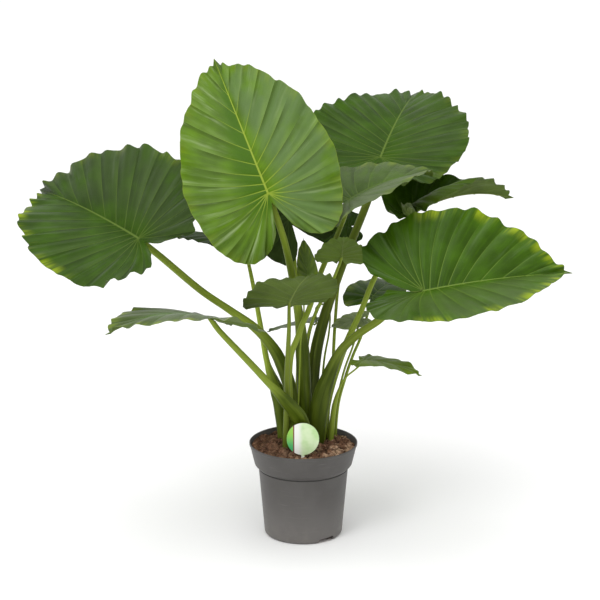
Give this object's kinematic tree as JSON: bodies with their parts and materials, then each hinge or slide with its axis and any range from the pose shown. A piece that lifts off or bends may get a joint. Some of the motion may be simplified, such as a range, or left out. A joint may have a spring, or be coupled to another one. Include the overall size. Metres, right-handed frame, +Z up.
{
  "type": "potted california alocasia",
  "caption": "Potted California alocasia: large heart-shaped waved leaves on tall petioles in a round nursery pot.",
  "frame": {"origin": "middle of the flat underside of the pot", "axes": "+Z up along the pot's axis, +X to the right and -Y towards the viewer in the plant's best view"},
  "size_m": [1.0625, 0.7184, 0.9197],
  "materials": {
    "pot": "satin",
    "soil": "matte",
    "plant_label": "satin",
    "leaf_a": "satin",
    "leaf_b": "satin",
    "leaf_c": "satin",
    "leaf_d": "satin",
    "leaf_e": "satin",
    "leaf_f": "satin",
    "leaf_g": "satin",
    "leaf_h": "satin",
    "leaf_i": "satin",
    "leaf_j": "satin",
    "leaf_k": "satin",
    "leaf_l": "satin",
    "leaf_m": "satin",
    "leaf_n": "satin",
    "leaf_o": "satin",
    "leaf_p": "satin",
    "leaf_q": "satin",
    "petiole_a": "satin",
    "petiole_b": "satin",
    "petiole_c": "satin",
    "petiole_d": "satin",
    "petiole_e": "satin",
    "petiole_f": "satin",
    "petiole_g": "satin",
    "petiole_h": "satin",
    "petiole_i": "satin",
    "petiole_j": "satin",
    "petiole_k": "satin",
    "petiole_l": "satin",
    "petiole_m": "satin",
    "petiole_n": "satin",
    "petiole_o": "satin",
    "petiole_p": "satin",
    "petiole_q": "satin"
  },
  "bodies": {
    "root": {"pot": "pot", "soil": "soil", "plant_label": "plant_label", "leaf_a": "leaf_a", "leaf_b": "leaf_b", "leaf_c": "leaf_c", "leaf_d": "leaf_d", "leaf_e": "leaf_e", "leaf_f": "leaf_f", "leaf_g": "leaf_g", "leaf_h": "leaf_h", "leaf_i": "leaf_i", "leaf_j": "leaf_j", "leaf_k": "leaf_k", "leaf_l": "leaf_l", "leaf_m": "leaf_m", "leaf_n": "leaf_n", "leaf_o": "leaf_o", "leaf_p": "leaf_p", "leaf_q": "leaf_q", "petiole_a": "petiole_a", "petiole_b": "petiole_b", "petiole_c": "petiole_c", "petiole_d": "petiole_d", "petiole_e": "petiole_e", "petiole_f": "petiole_f", "petiole_g": "petiole_g", "petiole_h": "petiole_h", "petiole_i": "petiole_i", "petiole_j": "petiole_j", "petiole_k": "petiole_k", "petiole_l": "petiole_l", "petiole_m": "petiole_m", "petiole_n": "petiole_n", "petiole_o": "petiole_o", "petiole_p": "petiole_p", "petiole_q": "petiole_q"}
  },
  "joints": []
}
